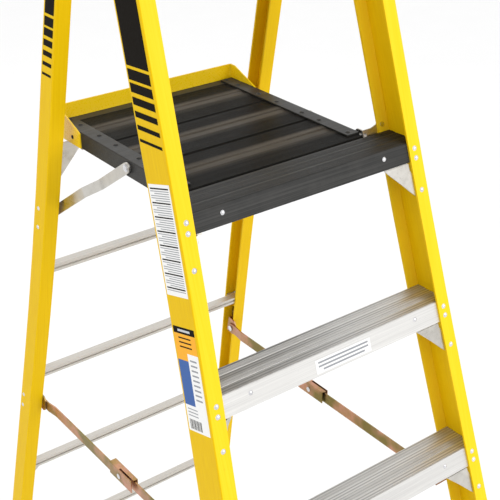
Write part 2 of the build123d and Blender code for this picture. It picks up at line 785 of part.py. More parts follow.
def main():
    parts = {}

    s_top_front = 672.0 / math.cos(lean)
    s_top_rear = 656.0 / math.cos(back)
    front_rail = make_rail(front, s_top_front, FLOOR / math.cos(lean) - 60)
    rear_rail = make_rail(rear, s_top_rear, FLOOR / math.cos(back) - 60)

    steps = {}
    for number in range(1, STEP_COUNT + 1):
        steps[number] = make_step(step_level(number), 40.7, STEP_BANDS)
    steps[6] = make_step(step_level(6), 36.2, PLATFORM_BANDS)

    front_axis = front_plane.z_dir
    rear_axis = rear_plane.z_dir
    front_rivets = []
    flange_holes = []
    step_holes = {}
    braces = []
    left_braces = []
    brace_tools = []
    for number in range(1, STEP_COUNT + 2):
        s_top = step_level(number) / math.cos(lean)
        skirt_tools = []
        for drop in (-10.8, -29.3, -91.7):
            s = s_top + drop
            point = front.spot(front.half(s) - 16.3, s, 0)
            front_rivets.append(rivet(point, front_axis, FRONT_WALL + 2.4))
            tool = hole(point, front_axis)
            flange_holes.append(tool)
            if drop > -50:
                skirt_tools.append(tool)
            else:
                brace_tools.append(tool)
        s = s_top - 14.0
        point = front.spot(front.half(s) - 91.0, s, -FRONT_WALL)
        front_rivets.append(rivet(point, front_axis, 4.8, 4.6))
        tool = hole(point, front_axis)
        skirt_tools.append(tool)
        brace_tools.append(tool)
        for drop in (10.5, -8.0):
            if number == STEP_COUNT + 1:
                if drop > 0:
                    continue
                drop = -4.5
            s = s_top + drop
            point = front.spot(front.half(s) - 16.3, s, -FRONT_DEPTH)
            front_rivets.append(rivet(point, front_axis * -1, FRONT_WALL + 2.4, 4.6))
            tool = hole(point, front_axis)
            flange_holes.append(tool)
            skirt_tools.append(tool)
        step_holes[number] = skirt_tools
        braces.append(knee_brace(number, True))
        left_braces.append(knee_brace(number, False))
    for number, tools in step_holes.items():
        steps[number] = steps[number] - both(tools)
    braces = [brace - brace_tools for brace in braces]
    left_braces = [other_side(brace - brace_tools) for brace in left_braces]

    # Brackets on the rear flange of the front rails
    hinge_bracket = deck_hinge_bracket()
    for height, grip in ((12.0, FRONT_WALL + 2.6), (-12.0, FRONT_WALL + 5.0)):
        point = front.spot(253.0, front_s(height, -FRONT_DEPTH), -FRONT_DEPTH - 2.6)
        front_rivets.append(rivet(point, front_axis * -1, grip, 4.6))
        tool = hole(point, front_axis, 24.0)
        flange_holes.append(tool)
        hinge_bracket -= tool
        steps[6] = steps[6] - both([tool])
    front_bracket = spreader_front_bracket()
    s_bracket = front_s(SPREAD_FRONT[1], -FRONT_DEPTH)
    for offset in (11.0, -9.0):
        point = front.spot(296.0, s_bracket + offset, -FRONT_DEPTH - 3.0)
        front_rivets.append(rivet(point, front_axis * -1, FRONT_WALL + 3.0, 4.6))
        tool = hole(point, front_axis)
        flange_holes.append(tool)
        front_bracket -= tool

    # Top hinge plate and cap
    hinge_plate = top_hinge_plate()
    s_hinge, n_hinge = front_face_s(*TOP_PIVOT)
    for drop, depth in ((-36, -26), (-64, -26), (-24, -60), (-54, -60)):
        s = s_hinge + drop
        point = front.web_spot(s, depth, -3.0)
        axis = front.web_axis(s)
        front_rivets.append(rivet(point, axis, FRONT_WALL + 3.0, 4.6))
        tool = hole(point, axis)
        flange_holes.append(tool)
        hinge_plate -= tool
    pivot_y, pivot_z = TOP_PIVOT
    hinge_plate -= disc(pivot_y, pivot_z, 5.0, 240, 270)

    cap_tools = []
    for z, y in ((663.0, 222.0), (663.0, 246.0)):
        s, n = front_face_s(y, z)
        point = front.web_spot(s, n, FRONT_WALL)
        axis = front.web_axis(s)
        front_rivets.append(screw(point, axis * -1, 12.0))
        tool = hole(point, axis, 26.0, 2.6 + HOLE_GAP)
        flange_holes.append(tool)
        cap_tools.append(tool)
    whole_rail = front_rail
    front_rail = front_rail - flange_holes
    cap = top_cap(whole_rail, hinge_plate) - both(cap_tools)
    boot_front = foot(front, front_rail)
    boot_rear = foot(rear, rear_rail)

    hinge_bracket -= disc(DECK_PIVOT[0], DECK_PIVOT[1], 4.0, 212, 220)
    front_bracket -= disc(SPREAD_FRONT[0], SPREAD_FRONT[1], 4.0, 250, 257)
    deck_pin = stepped_pin(DECK_PIVOT, [(5.0, 205.9, 207.5), (4.0, 207.5, 217.5),
                                        (6.5, 211.2, 214.5), (6.5, 217.5, 219.6)])
    front_link_pin = stepped_pin(SPREAD_FRONT, [(6.5, 250.2, 252.2), (3.95, 252.2, 259.1),
                                                (7.0, 259.1, 261.0)])
    front_bracket_pin_fit = disc(SPREAD_FRONT[0], SPREAD_FRONT[1], 4.0, 252.2, 255.2)
    front_link_pin += front_bracket_pin_fit
    top_bolt = stepped_pin(TOP_PIVOT, [(9.0, 254.9, 260.4), (5.0, 243.0, 254.9), (8.0, 240.0, 244.6)])

    # Rear frame fittings
    rear_rivets = []
    rear_flange_holes = []
    rungs = [rung(index) for index in range(len(RUNG_LEVELS))]
    for index in range(len(RUNG_LEVELS)):
        s = rung_s(index) - RUNG_TALL / 2 - RUNG_TAB_DROP
        point = rear.spot(rear.half(s) - 17.5, s, -REAR_DEPTH)
        rear_rivets.append(rivet(point, rear_axis * -1, REAR_WALL + RUNG_TAB, 4.4, 2.8))
        tool = hole(point, rear_axis, 14.0, 2.8 + HOLE_GAP)
        rear_flange_holes.append(tool)
        rungs[index] = rungs[index] - both([tool])

    braces_rear = []
    plate = top_rung_brace()
    near = TOP_RUNG_NEAR - RUNG_DEEP
    point = rear.spot(195.0, rung_s(0) - RUNG_TALL / 2, near + RUNG_SHEET)
    rear_rivets.append(rivet(point, rear_axis, RUNG_SHEET + 2.4, 4.4, 2.8))
    tool = hole(point, rear_axis, 14.0, 2.8 + HOLE_GAP)
    plate -= tool
    rungs[0] = rungs[0] - both([tool])
    point = rear.spot(254.0, -112.0, -REAR_DEPTH)
    rear_rivets.append(rivet(point, rear_axis * -1, REAR_DEPTH + near, 4.4, 2.8))
    tool = hole(point, rear_axis, 50.0, 2.8 + HOLE_GAP)
    plate -= tool
    rear_flange_holes.append(hole(point, rear_axis, 14.0, 2.8 + HOLE_GAP))
    braces_rear.append(plate)

    for index in (3, 5):
        s_top = rung_s(index)
        wide = rear.half(s_top)
        start = (wide - 68.0, s_top - 9.5)
        end = (rear.half(s_top - 72) - 17.5, s_top - 72)
        behind = -REAR_WALL - RUNG_DEEP
        bar = strip(start, end, 14.0, rear_plane, behind, 2.0)
        standoff = REAR_DEPTH - REAR_WALL + behind
        bar += strip((end[0] - 3, end[1] + 5), end, 14.0, rear_plane, behind, standoff)
        point = rear.spot(start[0], start[1], behind - 2.0)
        rear_rivets.append(rivet(point, rear_axis * -1, RUNG_SHEET + 2.0, 4.4, 2.8))
        tool = hole(point, rear_axis, 14.0, 2.8 + HOLE_GAP)
        bar -= tool
        rungs[index] = rungs[index] - both([tool])
        point = rear.spot(end[0], end[1], -REAR_DEPTH)
        rear_rivets.append(rivet(point, rear_axis * -1, REAR_DEPTH + behind, 4.4, 2.8))
        bar -= hole(point, rear_axis, 60.0, 2.8 + HOLE_GAP)
        rear_flange_holes.append(hole(point, rear_axis, 14.0, 2.8 + HOLE_GAP))
        braces_rear.append(bar)

    arm_bracket = rear_web_bracket(ARM_LOWER, -242.0, -172.0, 238.0, -36.7)
    spreader_bracket = rear_web_bracket(SPREAD_REAR, -752.0, -692.0, 268.7, -14.0, 24.0, 18.0)
    bracket_spots = [
        (arm_bracket, ((511.3, -171.4), (519.2, -215.9))),
        (spreader_bracket, (rear_side_point(-706.0, -32.0), rear_side_point(-738.0, -32.0))),
    ]
    drilled = []
    for bracket, places in bracket_spots:
        for y, z in places:
            s, n = rear_face_s(y, z)
            point = rear.web_spot(s, n, 0)
            axis = rear.web_axis(s)
            rear_rivets.append(rivet(point, axis, REAR_WALL + 3.0, 4.6))
            tool = hole(point, axis)
            rear_flange_holes.append(tool)
            bracket = bracket - tool
        drilled.append(bracket)
    arm_bracket, spreader_bracket = drilled
    arm_bracket -= disc(ARM_LOWER[0], ARM_LOWER[1], ARM_PIN, 230, 245)
    spreader_bracket -= disc(SPREAD_REAR[0], SPREAD_REAR[1], ARM_PIN, 260, 280)
    arm_lower_pin = stepped_pin(ARM_LOWER, [(7.0, 231.9, 233.9), (3.95, 233.9, 238.0),
                                            (ARM_PIN, 238.0, 241.0), (6.5, 241.0, 243.0)])
    rear_link_pin = stepped_pin(SPREAD_REAR, [(7.0, 262.7, 264.7), (3.95, 264.7, 268.7),
                                              (ARM_PIN, 268.7, 271.7)])
    rear_flange_holes.append(disc(pivot_y, pivot_z, 5.0 + HOLE_GAP, 235, 260))
    rear_rail = rear_rail - rear_flange_holes

    # Deck
    slats = [deck_slat(*span) for span in SLATS]
    side_rail = deck_side_rail()
    rear_bar = deck_rear_rail()
    board = toe_board()
    deck_rivets = []
    top_tools = []
    for y in (110.0, 194.5, 247.0, 328.0, 388.0, 460.0, 501.0):
        point = Vector(191.0, y, 3.3)
        deep = 3.0 if y > 495 else 4.4
        deck_rivets.append(rivet(point, Vector(0, 0, 1), 3.3 + deep, 5.0, 2.8))
        top_tools.append(hole(point, Vector(0, 0, 1), 30.0, 2.8 + HOLE_GAP))
    side_rail -= top_tools
    side_rail -= disc(DECK_PIVOT[0], DECK_PIVOT[1], 4.0 + HOLE_GAP, 200, 215)
    wing_point = Vector(213.5, 454.5, -15.0)
    deck_rivets.append(rivet(wing_point, Vector(1, 0, 0), 5.7, 4.4, 2.4))
    wing_tool = hole(wing_point, Vector(1, 0, 0), 30.0, 2.4 + HOLE_GAP)
    side_rail -= wing_tool
    board -= both([wing_tool])
    slats = [slat - both(top_tools) for slat in slats]
    rear_bar -= both(top_tools)
    for x in (60.0, 160.0):
        point = Vector(x, 517.6, -15.0)
        deck_rivets.append(rivet(point, Vector(0, 1, 0), 5.2, 4.4, 2.4))
        tool = hole(point, Vector(0, 1, 0), 20.0, 2.4 + HOLE_GAP)
        board -= both([tool])
        rear_bar -= both([tool])

    # Front frame nodes
    parts["front_rail_right"] = [front_rail]
    parts["front_rail_left"] = [other_side(front_rail)]
    for number in range(1, STEP_COUNT + 1):
        parts["step_%d" % number] = [steps[number]]
    parts["platform_step"] = [steps[6]]
    parts["step_knee_braces"] = braces + left_braces
    parts["front_frame_rivets"] = both(front_rivets)
    parts["deck_hinge_bracket_right"] = [hinge_bracket]
    parts["deck_hinge_bracket_left"] = [other_side(hinge_bracket)]
    parts["spreader_front_bracket_right"] = [front_bracket]
    parts["spreader_front_bracket_left"] = [other_side(front_bracket)]
    parts["front_pivot_pins"] = both([deck_pin, front_link_pin])
    parts["top_cap"] = [cap]
    parts["top_hinge_plate_right"] = [hinge_plate]
    parts["top_hinge_plate_left"] = [other_side(hinge_plate)]
    parts["top_hinge_bolts"] = both([top_bolt])
    parts["front_foot_right"] = [boot_front]
    parts["front_foot_left"] = [other_side(boot_front)]

    # Rear frame nodes
    parts["rear_rail_right"] = [rear_rail]
    parts["rear_rail_left"] = [other_side(rear_rail)]
    for index, shape in enumerate(rungs):
        parts["rear_rung_%d" % (len(rungs) - index)] = [shape]
    parts["rung_braces"] = both(braces_rear)
    parts["rear_frame_rivets"] = both(rear_rivets)
    parts["arm_bracket_right"] = [arm_bracket]
    parts["arm_bracket_left"] = [other_side(arm_bracket)]
    parts["spreader_rear_bracket_right"] = [spreader_bracket]
    parts["spreader_rear_bracket_left"] = [other_side(spreader_bracket)]
    parts["rear_pivot_pins"] = both([arm_lower_pin, rear_link_pin])
    parts["rear_foot_right"] = [boot_rear]
    parts["rear_foot_left"] = [other_side(boot_rear)]

    # Deck nodes
    for name, shape in zip(("front", "middle", "rear"), slats):
        parts["deck_slat_" + name] = [shape]
    parts["deck_side_rail_right"] = [side_rail]
    parts["deck_side_rail_left"] = [other_side(side_rail)]
    parts["deck_rear_rail"] = [rear_bar]
    parts["toe_board"] = [board]
    parts["deck_rivets"] = both(deck_rivets)

    # Link nodes
    right_links = {
        "deck_arm": arm_bar(),
        "deck_arm_pin": arm_pin(),
        "spreader_front_link": spreader_front_link(),
        "spreader_channel": spreader_channel(),
        "spreader_middle_pin": spreader_pin(),
        "spreader_channel_rivet": spreader_channel_rivet(),
        "spreader_rear_link": spreader_rear_link(),
    }
    for name, shape in right_links.items():
        parts[name + "_right"] = [shape]
        parts[name + "_left"] = [other_side(shape)]

    # The footprint is centred between the front and rear boot faces at the floor.
    front_reach = FLOOR * math.tan(lean) - BOOT_WALL / math.cos(lean)
    rear_reach = REAR_FACE_Y - FLOOR * math.tan(back) + (REAR_DEPTH + BOOT_WALL) / math.cos(back)
    shift = Pos(0, -0.5 * (front_reach + rear_reach), PLATFORM_HEIGHT)
    os.makedirs("parts", exist_ok=True)
    for name, shapes in parts.items():
        solids = []
        for shape in shapes:
            solids += list(shape.solids())
        moved = [shift * solid for solid in solids]
        whole = moved[0] if len(moved) == 1 else Compound(children=moved)
        export_step(whole, "parts/" + name + ".step")
        print(name, len(moved), round(sum(solid.volume for solid in moved)))


main()
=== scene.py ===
"""Looks for the platform step ladder: materials, generic labels, studio and camera.

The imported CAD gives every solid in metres, floor at z = 0, x right, y to the rear.
The labels are thin films laid on the rails' webs and on the skirt of the uppermost
open step, placed from the same driving dimensions that shape the rails.
"""

import json
import math

import bpy
from mathutils import Matrix, Vector


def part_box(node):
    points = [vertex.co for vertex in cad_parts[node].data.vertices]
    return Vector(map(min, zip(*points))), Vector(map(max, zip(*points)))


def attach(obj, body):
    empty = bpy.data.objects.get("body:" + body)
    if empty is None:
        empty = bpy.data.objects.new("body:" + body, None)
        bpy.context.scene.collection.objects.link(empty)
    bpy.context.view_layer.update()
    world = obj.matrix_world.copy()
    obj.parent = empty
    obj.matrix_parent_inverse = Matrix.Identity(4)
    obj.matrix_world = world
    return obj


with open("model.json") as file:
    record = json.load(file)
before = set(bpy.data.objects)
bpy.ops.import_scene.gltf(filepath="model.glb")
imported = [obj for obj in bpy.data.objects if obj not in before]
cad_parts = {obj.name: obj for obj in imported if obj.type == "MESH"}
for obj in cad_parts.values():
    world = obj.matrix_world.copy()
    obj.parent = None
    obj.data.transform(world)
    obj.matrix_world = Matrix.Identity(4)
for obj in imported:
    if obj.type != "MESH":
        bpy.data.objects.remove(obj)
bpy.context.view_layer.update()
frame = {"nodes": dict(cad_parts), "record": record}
nodes = frame["nodes"]

# ---------------------------------------------------------------- dimensions

# Height of the platform step's tread above the floor.
PLATFORM = 1.7272
FRONT_LEAN = math.radians(16.823)
REAR_LEAN = math.radians(13.039)
# Fore-and-aft place of the front rails' front face at platform height.
ORIGIN_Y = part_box("toe_board")[1].y - 0.5176
# The rear rails' front face at the same height.
REAR_Y = ORIGIN_Y + 0.4430
STEP_PITCH = 0.3048
# Spacing of the painted shade lines between the ribs of a step's tread.
TREAD_LINE = 0.0066
# Front edge of the first deck slat, behind the front plane, and the slats' spacing.
SLAT_START = 0.0805
SLAT_PITCH = 0.1365
SIDES = ((-1, "left"), (1, "right"))


class Rail:
    """Flared outline of one rail, as in the CAD: s runs up the slope from the platform.

    Above upper the two rails close in at a steady taper; between upper and lower the
    slope grows by bend for each metre; below lower it is steady again.
    """

    def __init__(self, lean, y, width, taper, bend, upper, lower):
        self.lean = lean
        self.y = y
        self.width = width
        self.taper = taper
        self.bend = bend
        self.upper = upper
        self.lower = lower

    def slope(self, s):
        if s >= self.upper:
            return self.taper
        return self.taper + self.bend * (self.upper - max(s, self.lower))

    def half(self, s):
        if s >= self.upper:
            return self.width - self.taper * (s - self.upper)
        run = self.upper - max(s, self.lower)
        wide = self.width + self.taper * run + 0.5 * self.bend * run * run
        if s < self.lower:
            wide += self.slope(self.lower) * (self.lower - s)
        return wide

    def web(self, s, depth, proud, side):
        """Point on the web's outer face, depth behind the front face, on side +1 or -1."""
        angle = math.atan(self.slope(s))
        x = self.half(s) + proud * math.cos(angle)
        s = s + proud * math.sin(angle)
        return self.place(side * x, s, depth)

    def place(self, x, s, depth):
        y = self.y + s * math.sin(self.lean) + depth * math.cos(self.lean)
        z = PLATFORM + s * math.cos(self.lean) - depth * math.sin(self.lean)
        return Vector((x, y, z))


front_rail = Rail(
    FRONT_LEAN, ORIGIN_Y, width=0.272312, taper=0.031691, bend=0.057, upper=0.0476, lower=-0.4880
)
rear_rail = Rail(
    -REAR_LEAN, REAR_Y, width=0.26782, taper=0.027574, bend=0.061, upper=0.0102, lower=-0.6049
)


# ---------------------------------------------------------------- node helpers


class Graph:
    """Small wrapper that makes shader nodes and links them in one call."""

    def __init__(self, name):
        self.material = bpy.data.materials.new(name)
        self.material.use_nodes = True
        self.tree = self.material.node_tree
        self.shader = self.tree.nodes["Principled BSDF"]

    def add(self, kind, inputs=None, **settings):
        node = self.tree.nodes.new(kind)
        for key, value in settings.items():
            setattr(node, key, value)
        for key, value in (inputs or {}).items():
            socket = node.inputs[key]
            if isinstance(value, bpy.types.NodeSocket):
                self.tree.links.new(value, socket)
            else:
                socket.default_value = value
        return node

    def link(self, source, key):
        self.tree.links.new(source, self.shader.inputs[key])

    def value(self, key, value):
        self.shader.inputs[key].default_value = value

    def coordinates(self, turn=(0, 0, 0), scale=(1, 1, 1)):
        where = self.add("ShaderNodeTexCoord")
        turned = self.add(
            "ShaderNodeMapping", {"Vector": where.outputs["Object"], "Rotation": turn}
        )
        scaled = self.add(
            "ShaderNodeMapping", {"Vector": turned.outputs["Vector"], "Scale": scale}
        )
        return scaled.outputs["Vector"]

    def noise(self, vector, scale, detail=3.0, rough=0.5):
        return self.add(
            "ShaderNodeTexNoise",
            {"Vector": vector, "Scale": scale, "Detail": detail, "Roughness": rough},
        ).outputs["Fac"]

    def span(self, source, low, high, to_low, to_high):
        limits = {"From Min": low, "From Max": high, "To Min": to_low, "To Max": to_high}
        node = self.add("ShaderNodeMapRange", {"Value": source, **limits})
        return node.outputs["Result"]

    def mix(self, factor, first, second):
        node = self.add("ShaderNodeMix", data_type="RGBA")
        self.feed(node.inputs[0], factor)
        self.feed(node.inputs[6], first)
        self.feed(node.inputs[7], second)
        return node.outputs[2]

    def feed(self, socket, value):
        if isinstance(value, bpy.types.NodeSocket):
            self.tree.links.new(value, socket)
        elif hasattr(value, "__len__") and len(value) == 3:
            socket.default_value = (*value, 1.0)
        else:
            socket.default_value = value

    def faces(self, direction, start=0.9, stop=0.97):
        """1 on faces whose own normal points along direction, 0 elsewhere."""
        where = self.add("ShaderNodeTexCoord")
        along = self.add("ShaderNodeVectorMath", operation="DOT_PRODUCT")
        self.tree.links.new(where.outputs["Normal"], along.inputs[0])
        along.inputs[1].default_value = direction
        return self.span(along.outputs["Value"], start, stop, 0.0, 1.0)

    def depth(self):
        """Distance behind the front rails' front plane, measured level."""
        where = self.add("ShaderNodeTexCoord")
        split = self.add("ShaderNodeSeparateXYZ", {"Vector": where.outputs["Object"]})
        height = self.math("SUBTRACT", split.outputs["Z"], PLATFORM)
        start = self.math("MULTIPLY", height, math.tan(FRONT_LEAN))
        back = self.math("SUBTRACT", split.outputs["Y"], ORIGIN_Y)
        return self.math("SUBTRACT", back, start)

    def math(self, kind, first, second=0.0):
        node = self.add("ShaderNodeMath", operation=kind)
        self.feed(node.inputs[0], first)
        self.feed(node.inputs[1], second)
        return node.outputs[0]

    def bump(self, height, strength, distance):
        node = self.add(
            "ShaderNodeBump", {"Height": height, "Strength": strength, "Distance": distance}
        )
        self.link(node.outputs["Normal"], "Normal")
        return node


# ---------------------------------------------------------------- materials


def fibreglass(name, lean, lit_front):
    """Pultruded resin: long faint fibre streaks along the rail, fine mat, light scuffs, and on
    front rails a painted highlight on the front-facing faces.
    """
    g = Graph(name)
    turn = (lean, 0, 0)
    streak = g.noise(g.coordinates(turn, (420, 420, 5)), 1.0, 4.0, 0.6)
    mat = g.noise(g.coordinates(turn, (900, 900, 260)), 1.0, 2.0)
    cloud = g.noise(g.coordinates(), 7.0, 3.0)
    scuff = g.noise(g.coordinates(turn, (60, 60, 14)), 1.0, 6.0, 0.7)
    deep = g.mix(cloud, (0.70, 0.43, 0.0010), (0.74, 0.47, 0.0020))
    tone = g.mix(g.span(streak, 0.35, 0.7, 0.0, 1.0), deep, (0.77, 0.51, 0.004))
    # Painted highlight: on front rails the faces turned to the front get a paler yellow,
    # standing in for the light falling on them.
    if lit_front:
        lines = g.span(streak, 0.35, 0.7, 0.0, 1.0)
        front_highlight = g.mix(lines, (0.86, 0.58, 0.012), (0.88, 0.63, 0.024))
        tone = g.mix(g.faces((0, -math.cos(lean), math.sin(lean))), tone, front_highlight)
    wear_and_sheen = g.mix(g.span(scuff, 0.66, 0.74, 0.0, 0.35), tone, (0.60, 0.38, 0.02))
    g.link(wear_and_sheen, "Base Color")
    rough = g.span(g.math("ADD", mat, streak), 0.6, 1.4, 0.36, 0.52)
    g.link(rough, "Roughness")
    g.value("Specular IOR Level", 0.07)
    height = g.math("ADD", g.math("MULTIPLY", streak, 0.6), g.math("MULTIPLY", mat, 0.4))
    g.bump(height, 0.22, 0.0004)
    return g.material


def aluminium(name, tint, across=(5, 700, 700), rough=(0.28, 0.46), ribbed=False):
    """Extruded mill finish: fine die lines along the extrusion and faint handling marks.

    Ribbed treads get painted shade: dark lines between their ribs, on upward faces.
    """
    g = Graph(name)
    lines = g.noise(g.coordinates((0, 0, 0), across), 1.0, 3.0, 0.6)
    haze = g.noise(g.coordinates(), 16.0, 5.0, 0.6)
    spots = g.noise(g.coordinates(), 160.0, 3.0)
    dark = tuple(0.80 * c for c in tint)
    tone = g.mix(g.span(lines, 0.3, 0.7, 0.0, 1.0), dark, tint)
    tone = g.mix(g.span(spots, 0.62, 0.75, 0.0, 0.3), tone, (0.52, 0.52, 0.53))
    if ribbed:
        # Painted shade: dark lines at the rib spacing on upward faces stand in for the shade
        # between the ribs.
        wave = g.math("SINE", g.math("MULTIPLY", g.depth(), math.tau / TREAD_LINE))
        rib_shade = g.span(wave, -0.2, 0.9, 0.0, 0.62)
        painted_rib_shade = g.math("MULTIPLY", rib_shade, g.faces((0, 0, 1), 0.7, 0.9))
        tone = g.mix(painted_rib_shade, tone, (0.20, 0.20, 0.20))
    g.link(tone, "Base Color")
    g.value("Metallic", 0.82)
    g.link(g.span(g.math("ADD", haze, lines), 0.6, 1.4, *rough), "Roughness")
    g.bump(lines, 0.16, 0.0003)
    return g.material


def black_coating(name, slats=False):
    """Satin black on aluminium with paler rubbed crests; slats get a painted highlight: a pale
    band along each middle trough.
    """
    g = Graph(name)
    grain = g.noise(g.coordinates(), 1500.0, 2.0)
    lines = g.noise(g.coordinates((0, 0, 0), (3, 420, 420)), 1.0, 3.0)
    dust = g.noise(g.coordinates(), 24.0, 6.0, 0.65)
    if slats:
        low, high = (0.004, 0.004, 0.003), (0.010, 0.009, 0.008)
    else:
        low, high = (0.013, 0.013, 0.012), (0.028, 0.027, 0.025)
    tone = g.mix(g.span(dust, 0.45, 0.75, 0.0, 1.0), low, high)
    tone = g.mix(g.span(lines, 0.45, 0.7, 0.0, 0.45), tone, tuple(2.2 * c for c in high))
    if slats:
        # Painted highlight: a pale band in each slat's trough stands in for the light reflected
        # there, broken up by noise.
        place = g.math("DIVIDE", g.math("SUBTRACT", g.depth(), SLAT_START), SLAT_PITCH)
        across = g.math("FRACT", place)
        rise = g.span(across, 0.30, 0.60, 0.0, 1.0)
        fall = g.span(across, 0.65, 0.72, 1.0, 0.0)
        wear_and_sheen = g.math("MULTIPLY", rise, fall)
        patchy = g.noise(g.coordinates((0, 0, 0), (5, 60, 60)), 1.0, 3.0)
        wear_and_sheen = g.math("MULTIPLY", wear_and_sheen, g.span(patchy, 0.3, 0.7, 0.55, 1.0))
        tone = g.mix(wear_and_sheen, tone, (0.110, 0.095, 0.077))
    g.link(tone, "Base Color")
    g.link(g.span(g.math("ADD", dust, grain), 0.7, 1.3, 0.34, 0.55), "Roughness")
    g.value("Specular IOR Level", 0.07 if slats else 0.30)
    g.bump(g.math("ADD", grain, lines), 0.12, 0.0002)
    return g.material


def plated_steel(name, light, dark, patch=30.0, rough=(0.24, 0.42), third=None):
    """Zinc plate: cloudy tone shifts, fine rolling lines and small dull spots."""
    g = Graph(name)
    cloud = g.noise(g.coordinates(), patch, 5.0, 0.6)
    fine = g.noise(g.coordinates((0, 0, 0), (900, 120, 900)), 1.0, 3.0)
    tone = g.mix(g.span(cloud, 0.35, 0.68, 0.0, 1.0), dark, light)
    if third:
        drift = g.noise(g.coordinates(), 0.35 * patch, 2.0)
        tone = g.mix(g.span(drift, 0.46, 0.58, 0.0, 1.0), tone, third)
    g.link(tone, "Base Color")
    g.value("Metallic", 1.0)
    g.link(g.span(g.math("ADD", cloud, fine), 0.7, 1.3, *rough), "Roughness")
    g.bump(fine, 0.12, 0.0002)
    return g.material


def sheet_paint(name):
    """Gloss yellow paint on bent sheet, slight orange peel."""
    g = Graph(name)
    peel = g.noise(g.coordinates(), 420.0, 2.0)
    cloud = g.noise(g.coordinates(), 9.0, 4.0)
    g.link(g.mix(cloud, (0.92, 0.61, 0.004), (0.95, 0.66, 0.008)), "Base Color")
    g.link(g.span(peel, 0.3, 0.7, 0.24, 0.36), "Roughness")
    g.value("Coat Weight", 0.25)
    g.value("Coat Roughness", 0.12)
    g.bump(peel, 0.08, 0.0003)
    return g.material


def moulded(name, base, high, rough, scale=1100.0):
    """Moulded plastic or rubber with an all-over fine spark texture."""
    g = Graph(name)
    grain = g.noise(g.coordinates(), scale, 3.0)
    smear = g.noise(g.coordinates(), 18.0, 5.0, 0.6)
    g.link(g.mix(g.span(smear, 0.4, 0.75, 0.0, 1.0), base, high), "Base Color")
    g.link(g.span(g.math("ADD", grain, smear), 0.6, 1.4, *rough), "Roughness")
    g.bump(grain, 0.35, 0.0003)
    return g.material


def printed(name, colour, rough=0.38, gloss=0.12):
    """Printed vinyl film: even colour, slight mottle from the substrate."""
    g = Graph(name)
    mottle = g.noise(g.coordinates(), 300.0, 3.0)
    shade = tuple(0.93 * c for c in colour)
    g.link(g.mix(mottle, shade, colour), "Base Color")
    g.link(g.span(mottle, 0.3, 0.7, rough - 0.05, rough + 0.07), "Roughness")
    g.value("Specular IOR Level", gloss)
    g.bump(mottle, 0.05, 0.0002)
    return g.material


FRONT_GLASS = fibreglass("front_fibreglass", FRONT_LEAN, True)
REAR_GLASS = fibreglass("rear_fibreglass", -REAR_LEAN, False)
MILL = aluminium("mill_aluminium", (0.72, 0.71, 0.69), rough=(0.40, 0.56), ribbed=True)
RUNG = aluminium("rung_aluminium", (0.66, 0.63, 0.58), rough=(0.34, 0.5))
BLACK = black_coating("black_coating")
SLAT = black_coating("slat_coating", True)
BRIGHT = plated_steel("bright_zinc", (0.64, 0.62, 0.58), (0.50, 0.48, 0.44))
BRASSY = plated_steel(
    "yellow_zinc", (0.58, 0.29, 0.22), (0.38, 0.23, 0.09), 34.0, third=(0.22, 0.17, 0.05)
)
PAINT = sheet_paint("toe_board_paint")
PLASTIC = moulded("cap_plastic", (0.018, 0.018, 0.019), (0.032, 0.032, 0.034), (0.42, 0.6))
RUBBER = moulded("foot_rubber", (0.014, 0.014, 0.014), (0.034, 0.033, 0.032), (0.6, 0.8), 700.0)
RIVET = plated_steel("rivet_plate", (0.76, 0.76, 0.77), (0.58, 0.58, 0.60), 60.0, (0.18, 0.30))

FINISHES = {
    "mill_aluminium": MILL,
    "black_coated_aluminium": BLACK,
    "zinc_plated_steel": BRIGHT,
    "yellow_zinc_steel": BRASSY,
    "yellow_paint": PAINT,
    "black_plastic": PLASTIC,
    "black_rubber": RUBBER,
    "rivet_steel": RIVET,
}


def dress_nodes():
    """Give every CAD node the finish of its material slot."""
    for part in frame["record"]["subparts"]:
        name, slot = part["node"], part["material_slot"]
        if slot == "yellow_fibreglass":
            finish = FRONT_GLASS if name.startswith("front") else REAR_GLASS
        elif name.startswith("rear_rung"):
            finish = RUNG
        elif name.startswith("deck_slat"):
            finish = SLAT
        else:
            finish = FINISHES[slot]
        mesh = nodes[name].data
        mesh.materials.clear()
        mesh.materials.append(finish)


dress_nodes()


# ---------------------------------------------------------------- labels

# A film's face stands LIFT off its surface, and FILM more for each layer.
FILM = 0.00016
LIFT = 0.0003


def film(name, body, finish, corner, layer=1, columns=2, rows=12):
    """Closed thin film whose corner(u, v, lift) gives a point for u, v from 0 to 1."""
    proud = LIFT + FILM * layer
    vertices = []
    for lift in (0.0, proud):
        for row in range(rows + 1):
            for column in range(columns + 1):
                vertices.append(corner(column / columns, row / rows, lift))
    wide = columns + 1
    sheet = wide * (rows + 1)
    faces = []
    for row in range(rows):
        for column in range(columns):
            a = row * wide + column
            quad = (a, a + 1, a + wide + 1, a + wide)
            faces.append(quad[::-1])
            faces.append(tuple(sheet + index for index in quad))
    border = list(range(wide))
    border += [wide * row + columns for row in range(1, rows + 1)]
    border += [wide * rows + column for column in range(columns - 1, -1, -1)]
    border += [wide * row for row in range(rows - 1, 0, -1)]
    for index, start in enumerate(border):
        end = border[(index + 1) % len(border)]
        faces.append((start, end, sheet + end, sheet + start))
    mesh = bpy.data.meshes.new(name)
    mesh.from_pydata(vertices, [], faces)
    mesh.validate()
    mesh.update()
    piece = bpy.data.objects.new(name, mesh)
    bpy.context.scene.collection.objects.link(piece)
    mesh.materials.append(finish)
    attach(piece, body)


def on_web(rail, side, top, bottom, near, far, slant=0.0):
    """Patch of the rail's web between two heights on the slope and two depths.

    Slant is how much higher its near edge stands than its far edge.
    """

    def corner(u, v, lift):
        depth = near + (far - near) * u
        s = top + (bottom - top) * v + slant * (0.5 - u)
        return rail.web(s, depth, lift, side)

    return corner


